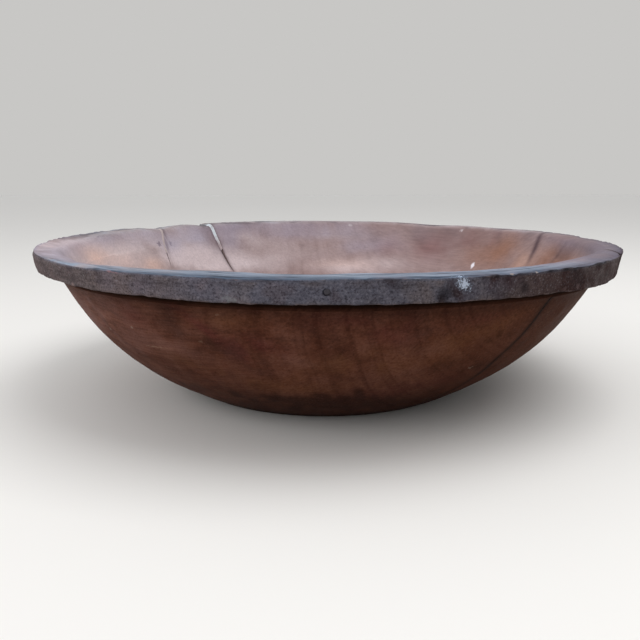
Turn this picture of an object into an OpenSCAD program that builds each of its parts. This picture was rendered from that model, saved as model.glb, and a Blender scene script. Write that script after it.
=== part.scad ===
// Turned wooden dough bowl with a raised flat band round its rim.
// It is turned from one block. Drying has split it along the grain at both ends,
// and the two splits at the back are stopped with filler. A nail sits in the band.
// Z is up, the foot stands on z = 0 and the turning axis is the Z axis.
// The photograph's view looks along +Y, with +X to the right.

/* [Rim band] */
// Diameter over the band at its top edge
rim_d = 560; // [480:10:700]
// Height of the band
band_h = 18; // [14:1:24]
// How far the band's face draws in towards its lower edge
band_taper = 4; // [1:0.5:6]
// How far the band's lower edge stands out past the collar
band_overhang = 10.5; // [7:0.5:14]
// Width of the flat top, from the outer edge to the hollow
rim_w = 21; // [18:1:26]
// Length of the roll from the flat top into the hollow
rim_roll = 6; // [3:0.5:8]
// Wear that rounds the two outer edges of the band
edge_wear = 1.5; // [0.5:0.25:2.5]

/* [Collar under the band] */
// Height of the low collar
collar_h = 7; // [5:0.5:9]
// How far the collar stands out of the wall
collar_step = 1.2; // [0.8:0.1:2]

/* [Bowl] */
// Height from the foot to the flat top
bowl_h = 145; // [125:5:180]
// Diameter of the flat foot
foot_d = 264; // [220:4:300]
// Thickness of the wall near the rim
wall_t = 13; // [11:0.5:16]
// Thickness of the wood over the edge of the foot
heel_t = 30; // [24:1:34]
// Thickness of the floor of the hollow at its centre
floor_t = 16; // [12:1:20]

/* [Grain] */
// Direction of the grain in plan, turned clockwise from +X, in degrees
grain_turn = 37; // [0:1:180]

/* [Open split at the back] */
// Distance of the split from the turning axis, across the grain
rear_across = 74; // [60:1:90]
// Opening at the flat top
rear_mouth = 4.5; // [2:0.25:6]
// Depth below the flat top
rear_depth = 62; // [45:1:75]
// Depth of the filler below the flat top
rear_fill = 34; // [20:1:40]

/* [Narrow split at the left] */
// Distance of the split from the turning axis, across the grain
left_across = 3; // [-20:1:30]
// Opening at the flat top
left_mouth = 2; // [1:0.25:3]
// Depth below the flat top
left_depth = 46; // [35:1:60]
// Depth of the filler below the flat top
left_fill = 30; // [15:1:34]

/* [Drying check in the wall at the front right] */
// Distance of the check from the turning axis, on the other side
check_across = 53; // [30:1:80]
// Width of the check
check_w = 1.4; // [0.8:0.1:2]
// Depth of the check into the wall
check_depth = 7; // [4:0.5:9]

/* [Short split in the rim at the right] */
// Distance of its inner end from the turning axis, across the grain
right_across = 66; // [40:1:90]
// Distance of its inner end from the outer edge of the rim
right_run = 13; // [8:1:18]
// Angle between the split and the grain, in degrees
right_slant = 48; // [30:1:60]
// Opening at the flat top
right_mouth = 1.8; // [1:0.2:3]
// Depth below the flat top
right_depth = 26; // [20:1:32]

/* [Nail in the band] */
// Diameter of the nail's head
nail_head_d = 5; // [4.5:0.5:8]
// How far the domed head stands out of the band
nail_dome = 1; // [0.5:0.25:1.5]
// How deep the rim of the head is driven into the band
nail_sink = 1.5; // [1:0.25:2]
// Diameter of the shank
nail_shank_d = 2.6; // [2:0.2:3.6]
// Length of the shank behind the head
nail_shank_l = 13; // [8:1:14]

/* [Chip in the band] */
// Direction of the chip from the axis, anticlockwise from +X, in degrees
chip_turn = 204; // [0:1:360]
// Length of the chip along the band
chip_l = 22; // [10:1:40]
// How deep the chip bites into the band
chip_bite = 2.6; // [1:0.2:4]

/* [Hidden] */
$fn = 96;

// Overrun of every cut past the face that it leaves
cut = 2;

rim_r = rim_d / 2;
foot_r = foot_d / 2;
rim_in_r = rim_r - rim_w;
band_low_r = rim_r - band_taper;
band_low_z = bowl_h - band_h;

// The wall leaves the foot at a low angle and meets the collar at a steep one
heel_angle = 25;
wall_angle = 54;
// Reach of the wall's two handles, as shares of its chord
wall_handle_shares = [0.62, 0.12];
wall_steps = 20;
dish_steps = 8;
round_steps = 5;

collar_top_r = band_low_r - band_overhang;
collar_low_z = band_low_z - collar_h;
collar_low_r = collar_top_r - collar_h / tan(wall_angle);
wall_foot = [foot_r, 0];
wall_head = [collar_low_r - collar_step, collar_low_z];
wall_chord = norm(wall_head - wall_foot);

function along(angle, reach) = reach * [cos(angle), sin(angle)];

// Outer face of the wall: a cubic curve from the foot (t = 0) to the collar (t = 1)
heel_handle = wall_foot + along(heel_angle, wall_chord * wall_handle_shares[0]);
head_handle = wall_head - along(wall_angle, wall_chord * wall_handle_shares[1]);
function wall_out(t) = pow(1 - t, 3) * wall_foot + 3 * pow(1 - t, 2) * t * heel_handle
    + 3 * (1 - t) * t * t * head_handle + pow(t, 3) * wall_head;
function wall_slope(t) = pow(1 - t, 2) * (heel_handle - wall_foot)
    + 2 * (1 - t) * t * (head_handle - heel_handle) + t * t * (wall_head - head_handle);
function inward(v) = [-v[1], v[0]] / norm(v);

// The hollow's face follows the outer one, thicker towards the foot
function wall_thick(t) = wall_t + (heel_t - wall_t) * pow(1 - t, 2);
function wall_in(t) = wall_out(t) + inward(wall_slope(t)) * wall_thick(t);

// A quarter-like round between two points, drawn towards their corner
function rounded(a, corner, b, n) = [
    for (i = [0:n])
        let (t = i / n) pow(1 - t, 2) * a + 2 * (1 - t) * t * corner + t * t * b
];

// The floor of the hollow dips from the wall to a level centre
dish_edge = wall_in(0);
dish_centre = [0, floor_t];
dish_corner = [dish_edge[0] - (dish_edge[1] - floor_t) / tan(heel_angle), floor_t];

hollow_lip = [rim_in_r, bowl_h];
lip_run = hollow_lip - wall_in(1);
lip_start = hollow_lip - lip_run / norm(lip_run) * rim_roll;
band_top_edge = [rim_r, bowl_h];
band_low_edge = [band_low_r, band_low_z];
band_down = (band_low_edge - band_top_edge) / norm(band_low_edge - band_top_edge);

// Half section of the turned blank, from the centre of the hollow over the rim to the foot
blank_outline = concat(
    rounded(dish_centre, dish_corner, dish_edge, dish_steps),
    [for (i = [1:wall_steps]) wall_in(i / wall_steps)],
    rounded(lip_start, hollow_lip, hollow_lip + [rim_roll, 0], round_steps),
    rounded(band_top_edge - [edge_wear, 0], band_top_edge, band_top_edge + band_down * edge_wear, round_steps),
    rounded(band_low_edge - band_down * edge_wear, band_low_edge, band_low_edge - [edge_wear, 0], round_steps),
    [[collar_top_r, band_low_z], [collar_low_r, collar_low_z]],
    [for (i = [wall_steps:-1:0]) wall_out(i / wall_steps)],
    [[0, 0]]
);

// The bowl as it left the lathe
module turned_blank() {
    rotate_extrude() polygon(blank_outline);
}

// Turns its children so that their X runs with the grain, towards the front right
module with_grain() {
    rotate([0, 0, -grain_turn]) children();
}

// A wedge that is open upwards and runs along +X.
// floor_depth is where its cross-section stops, at most the full depth of the split.
module wedge(mouth, depth, floor_depth, reach) {
    top_half = mouth / 2 * (depth + cut) / depth;
    low_half = mouth / 2 * (depth - floor_depth) / depth;
    low_z = bowl_h - floor_depth;
    top_z = bowl_h + cut;
    outline = floor_depth < depth
        ? [[-low_half, low_z], [low_half, low_z], [top_half, top_z], [-top_half, top_z]]
        : [[0, low_z], [top_half, top_z], [-top_half, top_z]];
    rotate([90, 0, 90]) linear_extrude(height = reach) polygon(outline);
}

// A split in the back half of the bowl, along the grain, at a distance from the axis
module back_split(across, mouth, depth, floor_depth) {
    reach = rim_r + cut;
    with_grain() translate([-reach, across, 0]) wedge(mouth, depth, floor_depth, reach);
}

// The short split starts on the flat top and slants across the grain to the outer edge
module right_split() {
    end_r = rim_r - right_run;
    end_x = sqrt(end_r * end_r - right_across * right_across);
    with_grain() translate([end_x, right_across, 0]) rotate([0, 0, -right_slant])
        wedge(right_mouth, right_depth, right_depth, rim_w + rim_w);
}

// A narrow check that follows the outer face of the wall and dies out towards the foot
check_low_share = 0.25;
check_steps = 12;
function check_t(i) = check_low_share + (1 - check_low_share) * i / check_steps;
function check_x(r) = sqrt(r * r - check_across * check_across);
function check_face(i) = let (p = wall_out(check_t(i))) [check_x(p[0]), p[1]];
function check_root(i) = check_face(i) - [check_depth * sqrt(i / check_steps), 0];

module wall_check() {
    outline = concat(
        [for (i = [0:check_steps]) check_root(i)],
        [[check_x(collar_top_r) - check_depth, band_low_z], [check_x(collar_top_r) + cut, band_low_z]],
        [for (i = [check_steps:-1:0]) check_face(i) + [cut, 0]]
    );
    with_grain() translate([0, -check_across + check_w / 2, 0])
        rotate([90, 0, 0]) linear_extrude(height = check_w) polygon(outline);
}

// The chip is a round bite out of the lower edge of the band
module band_chip() {
    bite_r = (chip_l * chip_l / 4 + chip_bite * chip_bite) / (2 * chip_bite);
    rotate([0, 0, chip_turn]) translate([band_low_r + bite_r - chip_bite, 0, band_low_z])
        sphere(r = bite_r);
}

// Turns and moves its children so that their Z points out of the band, at the nail
module at_nail() {
    nail_z = bowl_h - band_h / 2;
    face_r = rim_r - band_taper / 2;
    translate([0, -face_r, nail_z]) rotate([90, 0, 0]) children();
}

module nail_shape(proud) {
    head_r = nail_head_d / 2;
    shank_r = nail_shank_d / 2;
    tip_l = nail_shank_d;
    dome = [
        for (i = [0:round_steps])
            let (a = 90 * i / round_steps) [head_r * cos(a), proud * sin(a)]
    ];
    rotate_extrude() polygon(concat(
        [[0, -nail_sink - nail_shank_l], [shank_r, -nail_sink - nail_shank_l + tip_l]],
        [[shank_r, -nail_sink], [head_r, -nail_sink]],
        dome
    ));
}

module bowl() {
    color("saddlebrown") difference() {
        turned_blank();
        back_split(rear_across, rear_mouth, rear_depth, rear_depth);
        back_split(left_across, left_mouth, left_depth, left_depth);
        right_split();
        wall_check();
        band_chip();
        at_nail() nail_shape(nail_dome);
        at_nail() cylinder(d = nail_head_d, h = nail_dome + cut);
    }
}

module rear_split_filler() {
    color("gainsboro") intersection() {
        turned_blank();
        back_split(rear_across, rear_mouth, rear_depth, rear_fill);
    }
}

module left_split_filler() {
    color("tan") intersection() {
        turned_blank();
        back_split(left_across, left_mouth, left_depth, left_fill);
    }
}

module rim_nail() {
    color("dimgray") at_nail() nail_shape(nail_dome);
}

bowl();
rear_split_filler();
left_split_filler();
rim_nail();
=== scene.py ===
# %% [markdown]
# A wide dough bowl, turned from one block of wood.
#
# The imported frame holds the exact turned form: foot, wall, collar, rim band and hollow, with
# its splits, its fillers and a nail. This notebook gives that form what a century of use gives
# it: worn arrises, a lean, a rim that no longer lies flat, grain, patina and polish.

# %% Load the frame
from math import comb

import bpy
import numpy as np
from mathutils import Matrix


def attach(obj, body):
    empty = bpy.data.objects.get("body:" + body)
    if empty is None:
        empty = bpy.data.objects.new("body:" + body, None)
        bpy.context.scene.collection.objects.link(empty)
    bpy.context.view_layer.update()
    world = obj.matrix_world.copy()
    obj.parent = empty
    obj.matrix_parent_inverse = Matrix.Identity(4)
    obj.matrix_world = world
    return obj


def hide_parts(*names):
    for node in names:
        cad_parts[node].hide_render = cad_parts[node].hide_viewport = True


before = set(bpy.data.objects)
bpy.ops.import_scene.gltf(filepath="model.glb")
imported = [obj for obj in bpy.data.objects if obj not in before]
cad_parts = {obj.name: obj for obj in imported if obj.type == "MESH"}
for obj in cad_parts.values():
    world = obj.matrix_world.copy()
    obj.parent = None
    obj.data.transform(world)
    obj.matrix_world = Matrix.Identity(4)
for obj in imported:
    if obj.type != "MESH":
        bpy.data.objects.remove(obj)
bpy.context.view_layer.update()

# %% [markdown]
# The camera comes first, because every later step is judged through it. It stands low in front
# of the bowl and looks slightly down, as in the photograph, so that the front of the rim hides
# the floor of the hollow. It could be placed by eye, but a shallow ellipse such as this rim
# shows every degree, so its height, tilt and lens were worked out from the band's two edges.

# %% Camera
PHOTO_PX = 640
FOCAL_PX = 706.85
SENSOR_MM = 36.0
CAMERA_AT = (0.0, -0.7250, 0.2109)
LOOKS_DOWN, ROLLS, LOOKS_LEFT = 0.20605, 0.00164, 0.00989
camera_data = bpy.data.cameras.new("camera")
camera_data.sensor_width = SENSOR_MM
camera_data.lens = FOCAL_PX * SENSOR_MM / PHOTO_PX
camera = bpy.data.objects.new("camera", camera_data)
camera.location = CAMERA_AT
camera.rotation_euler = (np.pi / 2 - LOOKS_DOWN, ROLLS, LOOKS_LEFT)
bpy.context.scene.collection.objects.link(camera)
bpy.context.scene.camera = camera
print("lens:", round(camera_data.lens, 2), "mm")

# %% [markdown]
# The turned form is one half section, spun round the upright axis. On the lathe it was cut with
# a gouge, so each part of the section is one smooth sweep: the dished floor, the hollow's wall,
# the rolled lip, the flat top, the band's face, its overhang, the low collar and the outer wall.
# A sphere or a lathed polyline would give a bowl as well, but not these changes of curve. The
# same sweeps are written here as Bezier curves, with the frame's own sizes.

# %% Sizes of the turned form, in millimetres
MM = 0.001
RIM_R, RIM_W, RIM_ROLL = 280.0, 21.0, 6.0
BAND_H, BAND_TAPER, BAND_OVERHANG, EDGE_ROUND = 18.0, 4.0, 10.5, 1.5
COLLAR_H, COLLAR_STEP = 7.0, 1.2
BOWL_H, FOOT_R, WALL_T, HEEL_T, FLOOR_T = 145.0, 132.0, 13.0, 30.0, 16.0
HEEL_ANGLE, WALL_ANGLE = np.radians(25.0), np.radians(54.0)

BAND_LOW_Z = BOWL_H - BAND_H
COLLAR_TOP_R = RIM_R - BAND_TAPER - BAND_OVERHANG
COLLAR_LOW_Z = BAND_LOW_Z - COLLAR_H
COLLAR_LOW_R = COLLAR_TOP_R - COLLAR_H / np.tan(WALL_ANGLE)
print("band from", BAND_LOW_Z, "to", BOWL_H, "mm up; collar", round(COLLAR_LOW_R, 1), "mm out")


# %% Curves of the section
def sweep(t, *points):
    """Bezier curve: every point is weighed by its binomial share of t and 1 - t."""
    n = len(points) - 1
    t = np.asarray(t, float)[:, None]
    shares = [comb(n, k) * t**k * (1 - t) ** (n - k) for k in range(n + 1)]
    return sum(share * np.asarray(point, float) for share, point in zip(shares, points))


def between(a, b, count):
    """Evenly spaced points from a to b, without a itself."""
    return sweep(np.linspace(0, 1, count + 1)[1:], a, b)


def reach(angle, length):
    """The step of that length at that angle above level."""
    return length * np.array([np.cos(angle), np.sin(angle)])


print("halfway up a quarter round:", sweep([0.5], (1, 0), (1, 1), (0, 1))[0])

# %% The two faces of the wall
HEEL_PULL, HEAD_PULL = 0.62, 0.12
WALL_FOOT = np.array([FOOT_R, 0.0])
WALL_HEAD = np.array([COLLAR_LOW_R - COLLAR_STEP, COLLAR_LOW_Z])
CHORD = np.linalg.norm(WALL_HEAD - WALL_FOOT)
WALL_CURVE = (
    WALL_FOOT,
    WALL_FOOT + reach(HEEL_ANGLE, CHORD * HEEL_PULL),
    WALL_HEAD - reach(WALL_ANGLE, CHORD * HEAD_PULL),
    WALL_HEAD,
)


def outer_wall(t):
    """Outer face of the wall, from the foot (0) to the collar (1)."""
    return sweep(t, *WALL_CURVE)


def inner_wall(t):
    """The hollow's face: the outer one moved square to itself, by more near the foot."""
    t = np.asarray(t, float)
    ahead, behind = outer_wall(t + 1e-4), outer_wall(t - 1e-4)
    slope = (ahead - behind) / np.linalg.norm(ahead - behind, axis=1, keepdims=True)
    thick = WALL_T + (HEEL_T - WALL_T) * (1 - t) ** 2
    return outer_wall(t) + np.stack([-slope[:, 1], slope[:, 0]], 1) * thick[:, None]


print("wall:", outer_wall([0.5])[0].round(1), "outside,", inner_wall([0.5])[0].round(1), "inside")

# %% Corners of the section
level = np.array([1.0, 0.0])
dish_edge = inner_wall([0.0])[0]
dish_corner = np.array([dish_edge[0] - (dish_edge[1] - FLOOR_T) / np.tan(HEEL_ANGLE), FLOOR_T])
wall_top = inner_wall([1.0])[0]
lip = np.array([RIM_R - RIM_W, BOWL_H])
lip_way = (lip - wall_top) / np.linalg.norm(lip - wall_top)
lip_start, lip_end = lip - lip_way * RIM_ROLL, lip + level * RIM_ROLL
top_edge = np.array([RIM_R, BOWL_H])
low_edge = np.array([RIM_R - BAND_TAPER, BAND_LOW_Z])
face_way = (low_edge - top_edge) / np.linalg.norm(low_edge - top_edge)
edge_start, edge_end = top_edge - level * EDGE_ROUND, top_edge + face_way * EDGE_ROUND
arris_start, arris_end = low_edge - face_way * EDGE_ROUND, low_edge - level * EDGE_ROUND
collar_top, collar_low = (COLLAR_TOP_R, BAND_LOW_Z), (COLLAR_LOW_R, COLLAR_LOW_Z)
sole_edge, sole_middle = (FOOT_R - 1.5, 0), (12, 0)
print("the hollow starts", dish_edge.round(1), "and ends", lip)

# %% The half section, part by part
rounding = np.linspace(0, 1, 6)
section_parts = {
    "dish": sweep(np.linspace(0, 1, 9)[1:], (0, FLOOR_T), dish_corner, dish_edge),
    "hollow": inner_wall(np.linspace(0, 1, 31)[1:] ** 0.9),
    "lip": sweep(np.linspace(0, 1, 11), lip_start, lip, lip_end),
    "top": between(lip_end, edge_start, 6)[:-1],
    "edge": sweep(rounding, edge_start, top_edge, edge_end),
    "face": between(edge_end, arris_start, 9)[:-1],
    "arris": sweep(rounding, arris_start, low_edge, arris_end),
    "under": between(arris_end, collar_top, 4),
    "collar": between(collar_top, collar_low, 6),
    "wall": outer_wall(np.linspace(1, 0, 31) ** 0.95)[:-1],
    "heel": sweep(np.linspace(0, 1, 4), (FOOT_R + 1.1, 0.55), (FOOT_R, 0), sole_edge),
    "sole": between(sole_edge, sole_middle, 5),
}
section = np.vstack(list(section_parts.values()))
part_of = np.concatenate([[name] * len(points) for name, points in section_parts.items()])
is_part = {name: part_of == name for name in section_parts}
height = section[:, 1]

# The way out of the wood at each row, and the length of the section up to it
turn = np.gradient(section, axis=0)
outward = np.stack([-turn[:, 1], turn[:, 0]], 1) / np.linalg.norm(turn, axis=1, keepdims=True)
run = np.concatenate([[0], np.cumsum(np.linalg.norm(np.diff(section, axis=0), axis=1))])
print("half section:", len(section), "rows,", round(run[-1]), "mm round")

# %% [markdown]
# An old bowl is never quite what left the lathe. The wood shrank more across the grain than
# along it, the rim lifted and dropped beside the splits, the body leans a little to one side,
# and every arris is rubbed. Sculpting could give all this, but not the same bowl each time the
# notebook runs. So each is written as a smooth push of the surface, a function of the place on
# the bowl. None of them lifts the rim or widens its edge, so the bowl stays inside its box.

# %% Smooth shapes that the wear is made of
def drift(points, size, seed, waves=36):
    """Sum of cosine waves in random directions, each about one size long, times the root of half
    a share, which keeps nearly all of it between -1 and 1."""
    chance = np.random.default_rng(seed)
    way = chance.normal(size=(waves, 3))
    way /= np.linalg.norm(way, axis=1, keepdims=True)
    count = 2 * np.pi / (size * chance.uniform(0.7, 1.7, waves))
    phase = chance.uniform(0, 2 * np.pi, waves)
    return np.cos(points @ (way * count[:, None]).T + phase).sum(-1) * np.sqrt(0.5 / waves)


def bell(x):
    """1 at zero, falling smoothly to nothing at about 2 on both sides."""
    return np.exp(-(np.asarray(x) ** 2))


def ease(x):
    """0 below 0, 1 above 1, and an even S between."""
    x = np.clip(x, 0, 1)
    return x * x * (3 - 2 * x)


def apart(angle, degrees):
    """Angle from a direction in degrees, the short way round, in degrees."""
    return (np.degrees(angle) - degrees + 180) % 360 - 180


def bells_round(angle, table, unit=1.0):
    """Sum of bells round the bowl: each row of the table has a direction, a half width and a size."""
    gaps = apart(angle[..., None], table[:, 0]) * unit
    return (bell(gaps / table[:, 1]) * table[:, 2]).sum(-1)


print("ease:", ease(np.array([0.0, 0.25, 0.5, 1.0])), "bell:", bell([0, 1, 2]).round(2))

# %% Where the splits lie
# Each split keeps its distance from the turning axis, measured across the grain. It may slant
# over the rim, tilt as it goes down, and wander between the fibres. The last is the check.
GRAIN_ANGLE = np.radians(-37.0)
ALONG = np.array([np.cos(GRAIN_ANGLE), np.sin(GRAIN_ANGLE)])
ACROSS = np.array([-np.sin(GRAIN_ANGLE), np.cos(GRAIN_ANGLE)])
REAR = dict(across=74.0, slant=0.0, tilt=0.0, wander=0.7, seed=31)
LEFT = dict(across=3.0, slant=0.0, tilt=-0.28, wander=0.8, seed=32)
RIGHT = dict(across=42.0, slant=-1.15, tilt=0.1, wander=0.7, seed=33)
CHECK_ACROSS = -52.5


def end_angle(across, radius, end):
    """Direction where a line along the grain leaves a circle: end 1 front right, -1 back left."""
    return GRAIN_ANGLE + np.pi / 2 - end * np.arccos(np.clip(across / radius, -1, 1))


rear_end = np.degrees(end_angle(REAR["across"], RIM_R, -1))
print("the open split leaves the rim at", round(rear_end, 1), "degrees")

# %% How much of each movement a row takes
inside = is_part["dish"] | is_part["hollow"] | is_part["lip"]
top_rows = is_part["top"] | is_part["edge"]
body = inside | is_part["wall"] | is_part["heel"] | is_part["sole"]

# A dip of the rim pulls the upper wall with it, and reaches further down inside than outside
rim_share = ease((height - 85) / 42)
dip_share = rim_share * np.where(inside, 1, rim_share)

# The lip moves sideways as one, and the flat top less and less towards its outer edge
lip_share = np.where(inside, ease((height - 88) / 45), 0.0)
outer_gap = RIM_R - EDGE_ROUND - section[top_rows, 0]
lip_share[top_rows] = np.clip(outer_gap / (RIM_W - RIM_ROLL - EDGE_ROUND), 0, 1)
rolls = top_rows | is_part["lip"] | (is_part["hollow"] & (height > 122))
roll_share = np.where(rolls, lip_share, 0)
print("rows that dip:", (dip_share > 0).sum(), "rows that shift:", (lip_share > 0).sum())

# %% How the band takes its wear
# The crown is rubbed down most at the outer edge, the band's face bulges where a knot stayed
# proud, and its lower edge hangs
crown = np.where(body, 0, np.interp(height, [COLLAR_LOW_Z, BAND_LOW_Z, BOWL_H], [0, 0.5, 1]))
crown[is_part["top"]] = np.clip((section[is_part["top"], 0] - 264) / 15, 0, 1) ** 1.4
bulges = is_part["face"] | is_part["arris"] | is_part["under"]
face_share = np.interp(height, [BAND_LOW_Z, BOWL_H - 4, BOWL_H - 1], [1, 0.6, 0]) * bulges
low_share = np.interp(height, [95, COLLAR_LOW_Z, BAND_LOW_Z, BOWL_H - 4], [0, 0.8, 1, 0])
low_share = np.where(inside | is_part["top"], 0, low_share)

# The two arrises of the band are rubbed, and everything else only sways
edge_gap = np.linalg.norm(section - (top_edge + face_way * 0.4 - level * 0.4), axis=1)
arris_gap = np.linalg.norm(section - (low_edge - face_way * 0.4 - level * 0.4), axis=1)
edge_share = np.where(inside, 0, bell(edge_gap / 2.6))
arris_share = np.where(is_part["wall"] | is_part["collar"], 0, bell(arris_gap / 2.2))
SWAY_MM = {"dish": 0.5, "hollow": 0.6, "lip": 0.5, "top": 0.35, "edge": 0.3, "face": 0.35,
           "arris": 0.3, "under": 0.2, "collar": 0.25, "wall": 0.6}
sway = sum(amount * is_part[name] for name, amount in SWAY_MM.items())
sway[is_part["wall"]] *= ease(height[is_part["wall"]] / 12)
print("most sway:", sway.max(), "mm")

# %% Where the rim is worn
# Direction and half width in degrees, size in mm
RIM_DIPS = np.array([(142, 4.5, 2.3), (38, 11, 1.8), (22, 7, 0.6), (58, 8, 2.2), (5, 12, 1.8)])
LIP_ROLLS = np.array([(182, 26, 3.2), (0, 22, 1.8)])
LIP_SHIFTS = np.array([(-133, 8, 8.5), (-106, 6, -4.0), (-85.5, 4.5, -6.0)])
EDGE_RUBS = np.array([(-86, 9, -1.0), (-113, 8, -0.6), (-145, 8, -0.7), (-38, 14, 0.8)])
BAND_HANGS = np.array([(180, 18, 2.5), (-30, 24, 3.8), (-86, 20, 0.9)])

# Chips in the band's upper and lower edge: direction in degrees, half length and depth in mm
DEGREE_MM = np.pi / 180 * RIM_R
TOP_CHIPS = np.array([
    (-129, 9, 1.5), (-112, 4, 1.0), (-97, 5, 0.6), (-63, 3, 0.9), (-58.5, 2.5, 1.0),
    (-56.5, 2, 0.8), (-46, 12, 0.9), (-35, 5, 1.1), (-27, 4, 2.0), (-14, 9, 0.8), (8, 6, 1.0),
    (40, 10, 0.9), (71, 4, 1.1), (105, 7, 0.8), (127, 3, 1.6), (142, 3, 1.3), (166, 8, 1.0),
    (186, 5, 1.3), (-148, 6, 0.9),
])
LOW_CHIPS = np.array([
    (-156, 12, 2.2), (-168, 5, 0.9), (-118, 5, 0.8), (-103, 4, 1.0), (-88, 7, 0.6), (-52, 6, 1.0),
    (-18, 8, 1.2), (12, 12, 1.0), (55, 6, 1.3), (98, 9, 1.0), (150, 5, 1.2), (176, 5, 0.8),
])
print("chips:", len(TOP_CHIPS), "above and", len(LOW_CHIPS), "below")


# %% How far the rim sinks, shifts and hangs
def rim_dip(spot, angle):
    """How far the rim sinks, in mm: a step beside the open split, the lower back, and bells."""
    past = REAR["across"] - spot[..., :2] @ ACROSS
    at_back = spot[..., :2] @ ALONG < 0
    step = 2.6 * ease(past / 2 + 0.5) * bell(np.maximum(past - 3, 0) / 12) * at_back
    lower = 0.9 * np.clip(np.sin(angle), 0, 1) * (1 - bell(apart(angle, 108) / 35))
    lower = lower * (1 - 0.9 * bell(apart(angle, 162) / 16))
    return step + lower + bells_round(angle, RIM_DIPS)


def lip_shift(angle):
    """How far the lip moves outwards, in mm: two waves and bells, less a share at the front."""
    waves = 1.2 * np.sin(5 * angle + 0.7) + 0.8 * np.sin(11 * angle)
    return waves + bells_round(angle, LIP_SHIFTS) - 2.5 * np.clip(-np.sin(angle), 0, 1)


def edge_drop(row, angle):
    """How far the outer edge is rubbed down, but for the kept back left, and the band hangs."""
    past = apart(angle, 140)
    kept = 0.9 * ease((past + 55) / 20) * ease((80 - past) / 30)
    rubbed_down = 1.1 - kept + bells_round(angle, EDGE_RUBS)
    return rubbed_down * crown[row] + bells_round(angle, BAND_HANGS) * low_share[row]


def lean(angle, z):
    """How far the body leans to the left below the band, less so on its right side."""
    return (0.020 - 0.009 * np.cos(angle)) * np.maximum(BAND_LOW_Z - z, 0)


front_middle = np.array(-np.pi / 2)
print("front middle: lip shifts", lip_shift(front_middle).round(2), "mm")


# %% The worn surface
def wear_in(row, angle, spot):
    """How far wear pushes the skin along its normal, in mm: sway, rubbed arrises, chips, pits."""
    slow, quick, fine = drift(spot, 85, 11), drift(spot, 16, 12), drift(spot, 6.5, 13, 48)
    ragged_rub = (0.5 * edge_share + 0.3 * arris_share)[row] * np.clip(0.5 + quick + 0.8 * fine, 0, 2)
    chips = edge_share[row] * bells_round(angle, TOP_CHIPS, DEGREE_MM)
    chips = chips + arris_share[row] * bells_round(angle, LOW_CHIPS, DEGREE_MM)
    pits = 0.14 * is_part["face"][row] * np.clip(1 + 1.6 * fine, 0, 2)
    return -sway[row] * np.clip(0.55 + 0.45 * slow + 0.28 * quick, 0, 1.5) - ragged_rub - chips - pits


def worn(row, angle, lift=0.0):
    """Point in mm of a section row at an angle: the turned point, pushed along its normal by the
    wear, sunk, shifted and leaned; lift raises it off the wood."""
    row, angle = np.broadcast_arrays(row, angle)
    r, z = section[row, 0], section[row, 1]
    spot = np.stack([r * np.cos(angle), r * np.sin(angle), z], -1)
    push = wear_in(row, angle, spot) + lift
    bulge = 2.8 * face_share[row] * bell(apart(angle, -159) / 13)
    sink = (rim_dip(spot, angle) + bells_round(angle, LIP_ROLLS) * roll_share[row]) * dip_share[row]
    r = r + outward[row, 0] * push + lip_shift(angle) * lip_share[row] + bulge
    z = np.maximum(z + outward[row, 1] * push - sink - edge_drop(row, angle), 0)
    return np.stack([r * np.cos(angle) - lean(angle, z), r * np.sin(angle), z], -1)


COLUMNS = 760
angles = np.linspace(0, 2 * np.pi, COLUMNS, endpoint=False)
skin = worn(np.arange(len(section))[:, None], angles[None, :])
print("skin:", skin.shape, "highest", skin[..., 2].max().round(2), "widest", skin[..., 0].max().round(2))

# %% [markdown]
# Points become a mesh through one small function. It takes the points and their faces as whole
# arrays, and turns the faces outwards where they came out the wrong way round: the corners of
# an outward skin enclose a volume above zero. A grid closes on itself round the bowl, and one
# point closes each pole, so the skin holds water, which the cuts for the splits need.

# %% Points and faces to a mesh
def new_mesh(name, points_mm, faces):
    """A mesh object at the origin from points in mm and arrays of faces, turned outwards."""
    mesh = bpy.data.meshes.new(name)
    corners = [list(face) for part in faces for face in np.asarray(part).tolist()]
    mesh.from_pydata((np.asarray(points_mm, float) * MM).tolist(), [], corners)
    mesh.update()
    piece = bpy.data.objects.new(name, mesh)
    bpy.context.scene.collection.objects.link(piece)
    spots = np.zeros(len(mesh.vertices) * 3)
    mesh.vertices.foreach_get("co", spots)
    mesh.calc_loop_triangles()
    triangles = np.zeros(len(mesh.loop_triangles) * 3, int)
    mesh.loop_triangles.foreach_get("vertices", triangles)
    a, b, c = spots.reshape(-1, 3)[triangles.reshape(-1, 3)].transpose(1, 0, 2)
    if np.einsum("ij,ij->", a, np.cross(b, c)) < 0:
        mesh.flip_normals()
    return piece


def grid_faces(lines, columns, closed=True):
    """Quads between the neighbours of a grid; closed joins the last column to the first."""
    i = np.arange(lines - 1)[:, None]
    j = np.arange(columns if closed else columns - 1)[None, :]
    k = (j + 1) % columns
    below, above = i * columns, (i + 1) * columns
    return np.stack([below + j, above + j, above + k, below + k], -1).reshape(-1, 4)


def pole_faces(pole, ring):
    """Triangles from one pole point to each side of a closed ring of points."""
    return np.stack([np.full(len(ring), pole), ring, np.roll(ring, -1)], -1)


def smooth(piece, sharp_degrees):
    """Shades a piece smooth, but for edges sharper than that."""
    piece.data.polygons.foreach_set("use_smooth", np.ones(len(piece.data.polygons), bool))
    piece.data.set_sharp_from_angle(angle=np.radians(sharp_degrees))


print("faces of a 3 by 4 closed grid:", len(grid_faces(3, 4)))

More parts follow.
